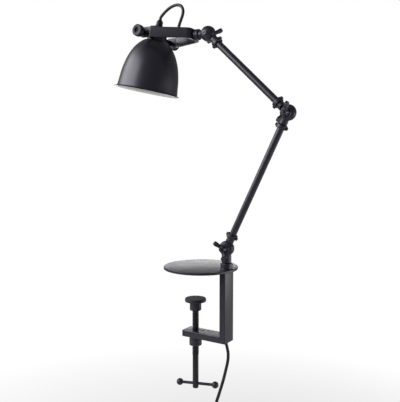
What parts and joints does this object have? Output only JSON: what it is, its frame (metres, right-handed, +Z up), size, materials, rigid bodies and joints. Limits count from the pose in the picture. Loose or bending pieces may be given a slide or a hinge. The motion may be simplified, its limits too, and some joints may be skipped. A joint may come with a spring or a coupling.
{
  "type": "architect desk lamp",
  "caption": "Black clamp-on desk lamp with a bell shade in a forked yoke on two hinged tube arms above a round clamp disc.",
  "frame": {"origin": "centre of the clamp disc's underside, the face that rests on the table top", "axes": "+Z up, +X from the table towards the clamp bar outside its edge, Y along the table edge; both arms move in the XZ plane"},
  "size_m": [0.4045, 0.1534, 1.0301],
  "materials": {
    "powder_coat": "satin black powder coat on steel",
    "black_metal": "satin black lacquer on cast and turned metal",
    "black_plastic": "fine matt black plastic",
    "lead_black": "smooth black flexible lead sheath",
    "bright_metal": "bright plated metal",
    "opal_glass": "satin opal glass"
  },
  "bodies": {
    "clamp": {"clamp_frame": "powder_coat", "arm_end_cap": "black_plastic", "bar_end_bush": "black_plastic", "base_disc": "powder_coat", "base_collar": "powder_coat", "clamp_nut": "powder_coat", "mains_lead": "lead_black", "plug_tail": "lead_black", "cord_coil": "lead_black", "coil_tie": "black_plastic", "cord_switch": "black_plastic", "plug_body": "black_plastic", "plug_pin_left": "bright_metal", "plug_pin_right": "bright_metal"},
    "stem": {"stem_knuckle": "black_metal"},
    "lock_screw": {"stem_lock_screw": "black_metal"},
    "lower_arm": {"lower_arm_start_knuckle": "black_metal", "lower_arm_end_knuckle": "black_metal", "lower_arm_start_ring": "black_metal", "lower_arm_end_ring": "black_metal", "lower_arm_start_set_screw": "black_metal", "lower_arm_end_set_screw": "black_metal", "lower_arm_tube": "powder_coat", "lower_arm_lead": "lead_black", "lower_bolt": "black_metal"},
    "lower_wing": {"lower_wing_nut": "black_metal"},
    "upper_arm": {"upper_arm_start_knuckle": "black_metal", "upper_arm_end_knuckle": "black_metal", "upper_arm_start_ring": "black_metal", "upper_arm_end_ring": "black_metal", "upper_arm_start_set_screw": "black_metal", "upper_arm_end_set_screw": "black_metal", "upper_arm_tube": "powder_coat", "upper_arm_lead": "lead_black", "elbow_bolt": "black_metal"},
    "elbow_wing": {"elbow_wing_nut": "black_metal"},
    "head": {"head_knuckle": "black_metal", "head_ring": "black_metal", "swivel_nipple": "black_metal", "swivel_nut": "black_metal", "top_bolt": "black_metal"},
    "top_wing": {"top_wing_nut": "black_metal"},
    "yoke": {"yoke": "powder_coat", "loop_lead": "lead_black"},
    "shade": {"shade": "powder_coat", "shade_cap": "powder_coat", "cord_grip": "black_plastic", "lampholder": "black_plastic", "shade_ring": "black_plastic", "bulb_cap": "bright_metal", "bulb_glass": "opal_glass", "near_pivot_pin": "black_metal", "far_pivot_pin": "black_metal"},
    "near_knob": {"near_pivot_knob": "black_metal"},
    "far_knob": {"far_pivot_knob": "black_metal"},
    "pad": {"clamp_pad": "black_metal"},
    "screw": {"clamp_screw": "black_metal"},
    "tommy": {"tommy_bar": "black_metal", "tommy_ball": "black_metal"},
    "rocker": {"switch_rocker": "black_plastic"}
  },
  "joints": [
    {"name": "base_swivel", "type": "hinge", "parent": "clamp", "child": "stem", "pos_m": [0.061, 0, 0.0235], "axis": [0, 0, 1], "range_deg": [-170, 170]},
    {"name": "lower_hinge", "type": "hinge", "parent": "stem", "child": "lower_arm", "pos_m": [0.061, 0, 0.0465], "axis": [0, 1, 0], "range_deg": [-101, 54]},
    {"name": "elbow_hinge", "type": "hinge", "parent": "lower_arm", "child": "upper_arm", "pos_m": [0.18992, 0, 0.3085], "axis": [0, -1, 0], "range_deg": [-191, 44.5]},
    {"name": "top_hinge", "type": "hinge", "parent": "upper_arm", "child": "head", "pos_m": [0.01758, 0, 0.46994], "axis": [0, 1, 0], "range_deg": [-77.5, 158]},
    {"name": "head_swivel", "type": "hinge", "parent": "head", "child": "yoke", "pos_m": [0.01758, 0, 0.46994], "axis": [-0.9988, 0, 0.0495], "range_deg": [-90, 90]},
    {"name": "shade_tilt", "type": "hinge", "parent": "yoke", "child": "shade", "pos_m": [-0.10957, 0, 0.47625], "axis": [0.0034, -0.9977, 0.0679], "range_deg": [-93, 41], "deforming": ["loop_lead"]},
    {"name": "lock_screw_turn", "type": "hinge", "parent": "stem", "child": "lock_screw", "pos_m": [0.061, 0, 0.0243], "axis": [-1, 0, 0], "range_deg": [0, 270]},
    {"name": "lower_wing_turn", "type": "hinge", "parent": "lower_arm", "child": "lower_wing", "pos_m": [0.061, 0, 0.0465], "axis": [0, -1, 0], "range_deg": [0, 270]},
    {"name": "elbow_wing_turn", "type": "hinge", "parent": "upper_arm", "child": "elbow_wing", "pos_m": [0.18992, 0, 0.3085], "axis": [0, -1, 0], "range_deg": [0, 270]},
    {"name": "top_wing_turn", "type": "hinge", "parent": "head", "child": "top_wing", "pos_m": [0.01758, 0, 0.46994], "axis": [0, 1, 0], "range_deg": [0, 270]},
    {"name": "near_knob_turn", "type": "hinge", "parent": "shade", "child": "near_knob", "pos_m": [-0.10957, 0, 0.47625], "axis": [0.0034, -0.9977, 0.0679], "range_deg": [0, 270]},
    {"name": "far_knob_turn", "type": "hinge", "parent": "shade", "child": "far_knob", "pos_m": [-0.10957, 0, 0.47625], "axis": [-0.0034, 0.9977, -0.0679], "range_deg": [0, 270]},
    {"name": "pad_slide", "type": "slide", "parent": "clamp", "child": "pad", "axis": [0, 0, 1], "range_m": [-0.04, 0.056]},
    {"name": "screw_turn", "type": "hinge", "parent": "pad", "child": "screw", "pos_m": [-0.013, 0, -0.15], "axis": [0, 0, 1], "range_deg": [-4810, 6730]},
    {"name": "tommy_slide", "type": "slide", "parent": "screw", "child": "tommy", "axis": [0.9455, 0.3256, 0], "range_m": [-0.028, 0.018]},
    {"name": "rocker_press", "type": "hinge", "parent": "clamp", "child": "rocker", "pos_m": [0.051, -0.036, -0.338], "axis": [1, 0, 0], "range_deg": [0, 8]}
  ],
  "couplings": [
    {"joint": "screw_turn", "follows": "pad_slide", "rad_per_m": 2094.4}
  ]
}
